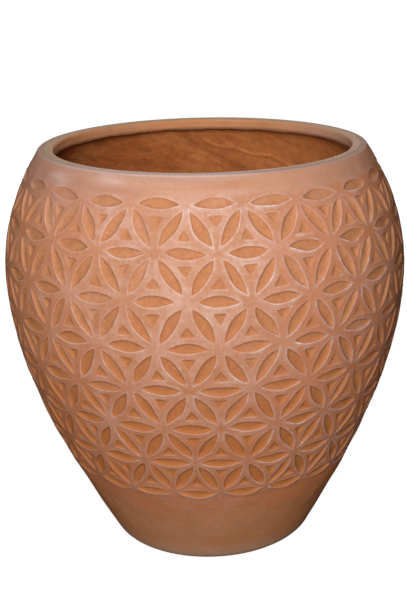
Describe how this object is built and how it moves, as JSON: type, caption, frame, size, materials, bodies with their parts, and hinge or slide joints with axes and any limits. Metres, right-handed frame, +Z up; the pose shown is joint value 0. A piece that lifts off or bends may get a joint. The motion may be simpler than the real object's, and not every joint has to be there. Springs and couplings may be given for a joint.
{
  "type": "planter",
  "caption": "Round fibreglass floor planter with a full belly, narrow foot and thick lip, a sunk lattice of pointed petals and a lift-out drain plug.",
  "frame": {"origin": "centre of the underside of the foot, on the surface that the planter stands on", "axes": "+Z up along the planter's axis, -Y towards the side seen in the picture, +X to the right of that view"},
  "size_m": [0.542, 0.542, 0.55],
  "materials": {
    "terracotta_skin": "matt stone-filled gel coat with a pale lime wash rubbed over it",
    "lip_resin": "smooth matt filled resin, greyer than the body",
    "glass_mat": "brushed brown resin over creased glass mat, slightly satin",
    "floor_laminate": "brown resin over glass mat",
    "glass_tape": "brown resin over woven glass tape",
    "plug_rubber": "dull black moulded rubber"
  },
  "bodies": {
    "planter": {"outer_shell": "terracotta_skin", "rim_lip": "lip_resin", "inner_laminate": "glass_mat", "base_plate": "floor_laminate", "base_tape": "glass_tape"},
    "plug": {"drain_plug": "plug_rubber"}
  },
  "joints": [
    {"name": "plug_lift", "type": "slide", "parent": "planter", "child": "plug", "axis": [0, 0, 1], "range_m": [0, 0.04]}
  ]
}
